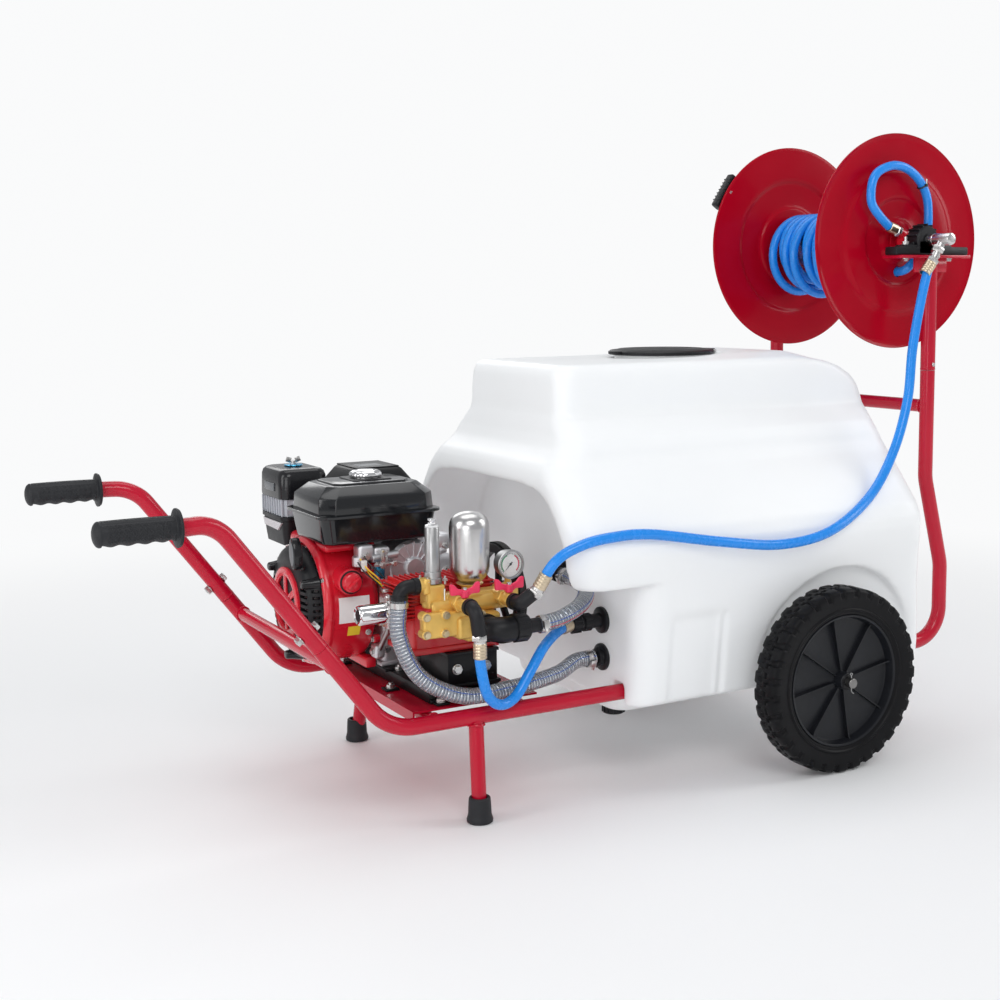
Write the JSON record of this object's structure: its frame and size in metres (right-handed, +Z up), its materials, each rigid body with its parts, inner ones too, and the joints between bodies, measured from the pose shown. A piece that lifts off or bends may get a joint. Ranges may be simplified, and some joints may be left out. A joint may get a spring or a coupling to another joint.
{
  "type": "wheeled sprayer cart",
  "caption": "Push cart sprayer: red tube frame with handles and feet, petrol engine driving a plunger pump by belt, white moulded tank and a hose reel on posts.",
  "frame": {"origin": "centre of the whole cart's bounding box, on the ground", "axes": "+Z up, +X from the handles to the hose reel end, +Y to the left of a person holding the handles and facing the tank"},
  "size_m": [1.9226, 0.86, 1.2456],
  "materials": {
    "red_frame": "gloss red powder coat on welded steel tube",
    "red_casting": "red enamel on castings and pressed covers",
    "reel_red": "gloss dark red paint on pressed steel discs",
    "white_tank": "rotation moulded natural white polyethylene",
    "black_plastic": "moulded black plastic",
    "black_enamel": "gloss black enamel",
    "grip_rubber": "matt black soft grip rubber",
    "tyre_rubber": "solid black tyre rubber with block tread",
    "belt_rubber": "black V belt",
    "blue_hose": "smooth blue pressure hose",
    "clear_hose": "clear hose with a steel coil",
    "brass": "cast brass",
    "chrome": "polished chrome",
    "zinc_steel": "zinc plated steel",
    "aluminium": "as-cast aluminium",
    "red_plastic": "moulded red plastic"
  },
  "bodies": {
    "cart": {"welded_frame": "red_frame", "engine_plate": "red_frame", "handle_left": "red_frame", "handle_right": "red_frame", "grip_left": "grip_rubber", "grip_right": "grip_rubber", "foot_left": "grip_rubber", "foot_right": "grip_rubber", "reel_post_left": "red_frame", "reel_post_right": "red_frame", "tank": "white_tank", "strainer_basket": "black_plastic", "suction_fitting": "black_plastic", "bypass_fitting": "black_plastic", "axle": "zinc_steel", "mount_base": "black_enamel", "engine_block": "aluminium", "fan_shroud": "red_casting", "recoil_cover": "black_plastic", "fuel_tank": "black_enamel", "air_cleaner": "black_plastic", "muffler": "zinc_steel", "drive_belt": "belt_rubber", "pump_crankcase": "red_casting", "pump_head": "brass", "air_chamber": "chrome", "pressure_gauge": "chrome", "suction_elbow": "black_plastic", "bypass_hose": "clear_hose", "suction_hose": "clear_hose", "agitator_hose": "blue_hose", "supply_hose": "blue_hose", "throttle_actuator": "chrome", "bearing_left": "black_plastic", "bearing_right": "black_plastic", "reel_swivel": "chrome"},
    "wheel_left": {"rim_left": "black_plastic", "tyre_left": "tyre_rubber"},
    "wheel_right": {"rim_right": "black_plastic", "tyre_right": "tyre_rubber"},
    "reel": {"reel_disc_left": "reel_red", "reel_disc_right": "reel_red", "reel_drum": "zinc_steel", "spray_hose": "blue_hose"},
    "crank_grip": {"crank_grip": "black_plastic"},
    "lid": {"tank_lid": "black_plastic"},
    "drain_plug": {"drain_plug": "black_plastic"},
    "crankshaft": {"crankshaft": "zinc_steel", "engine_pulley": "zinc_steel"},
    "pump_shaft": {"pump_pulley": "black_enamel"},
    "recoil_handle": {"recoil_handle": "black_plastic"},
    "fuel_cap": {"fuel_cap": "chrome"},
    "air_cleaner_nut": {"air_cleaner_nut": "zinc_steel"},
    "throttle_lever": {"throttle_lever": "zinc_steel"},
    "choke_lever": {"choke_lever": "black_plastic"},
    "engine_switch": {"engine_switch": "red_plastic"},
    "pressure_regulator": {"pressure_regulator": "chrome"},
    "gauge_needle": {"gauge_needle": "black_plastic"},
    "valve_knob_1": {"valve_knob_1": "red_plastic"},
    "valve_knob_2": {"valve_knob_2": "red_plastic"}
  },
  "joints": [
    {"name": "wheel_left_spin", "type": "hinge", "parent": "cart", "child": "wheel_left", "pos_m": [0.3997, 0.38, 0.18], "axis": [0, 1, 0], "continuous": true},
    {"name": "wheel_right_spin", "type": "hinge", "parent": "cart", "child": "wheel_right", "pos_m": [0.3997, -0.38, 0.18], "axis": [0, 1, 0], "continuous": true},
    {"name": "reel_spin", "type": "hinge", "parent": "cart", "child": "reel", "pos_m": [0.7327, 0, 1.023], "axis": [0, 1, 0], "continuous": true},
    {"name": "crank_grip_spin", "type": "hinge", "parent": "reel", "child": "crank_grip", "pos_m": [0.55777, 0.188, 1.14099], "axis": [0, 1, 0], "continuous": true},
    {"name": "lid_hinge", "type": "hinge", "parent": "cart", "child": "lid", "pos_m": [0.3637, 0, 0.8012], "axis": [0, 1, 0], "range_deg": [0, 110]},
    {"name": "drain_plug_turn", "type": "hinge", "parent": "cart", "child": "drain_plug", "pos_m": [0.0697, -0.1, 0.1196], "axis": [0, 0, 1], "range_deg": [0, 360]},
    {"name": "crank_spin", "type": "hinge", "parent": "cart", "child": "crankshaft", "pos_m": [-0.3003, 0.08, 0.353], "axis": [1, 0, 0], "continuous": true},
    {"name": "pump_spin", "type": "hinge", "parent": "cart", "child": "pump_shaft", "pos_m": [-0.2023, -0.13, 0.371], "axis": [1, 0, 0], "continuous": true},
    {"name": "recoil_pull", "type": "slide", "parent": "cart", "child": "recoil_handle", "axis": [-0.9439, 0, 0.3303], "range_m": [0, 0.45]},
    {"name": "fuel_cap_turn", "type": "hinge", "parent": "cart", "child": "fuel_cap", "pos_m": [-0.3903, 0.045, 0.5784], "axis": [0, 0, 1], "range_deg": [0, 90]},
    {"name": "air_cleaner_nut_turn", "type": "hinge", "parent": "cart", "child": "air_cleaner_nut", "pos_m": [-0.4503, 0.268, 0.5853], "axis": [0, 0, 1], "range_deg": [0, 360]},
    {"name": "throttle_swing", "type": "hinge", "parent": "cart", "child": "throttle_lever", "pos_m": [-0.4053, -0.064, 0.432], "axis": [0, 1, 0], "range_deg": [0, 40]},
    {"name": "choke_swing", "type": "hinge", "parent": "cart", "child": "choke_lever", "pos_m": [-0.4183, 0.24, 0.3732], "axis": [0, 0, -1], "range_deg": [0, 60]},
    {"name": "engine_switch_turn", "type": "hinge", "parent": "cart", "child": "engine_switch", "pos_m": [-0.4653, -0.0583, 0.4055], "axis": [0, 1, 0], "range_deg": [0, 90]},
    {"name": "regulator_turn", "type": "hinge", "parent": "cart", "child": "pressure_regulator", "pos_m": [-0.3733, -0.205, 0.42], "axis": [0, 0, 1], "range_deg": [-180, 180]},
    {"name": "gauge_needle_sweep", "type": "hinge", "parent": "cart", "child": "gauge_needle", "pos_m": [-0.2343, -0.2343, 0.444], "axis": [0, 1, 0], "range_deg": [0, 270]},
    {"name": "valve_knob_1_turn", "type": "hinge", "parent": "cart", "child": "valve_knob_1", "pos_m": [-0.3423, -0.268, 0.4008], "axis": [0, 0, 1], "range_deg": [0, 90]},
    {"name": "valve_knob_2_turn", "type": "hinge", "parent": "cart", "child": "valve_knob_2", "pos_m": [-0.2553, -0.268, 0.4008], "axis": [0, 0, 1], "range_deg": [0, 90]}
  ],
  "couplings": [
    {"joint": "pump_spin", "follows": "crank_spin", "ratio": 0.3696}
  ]
}
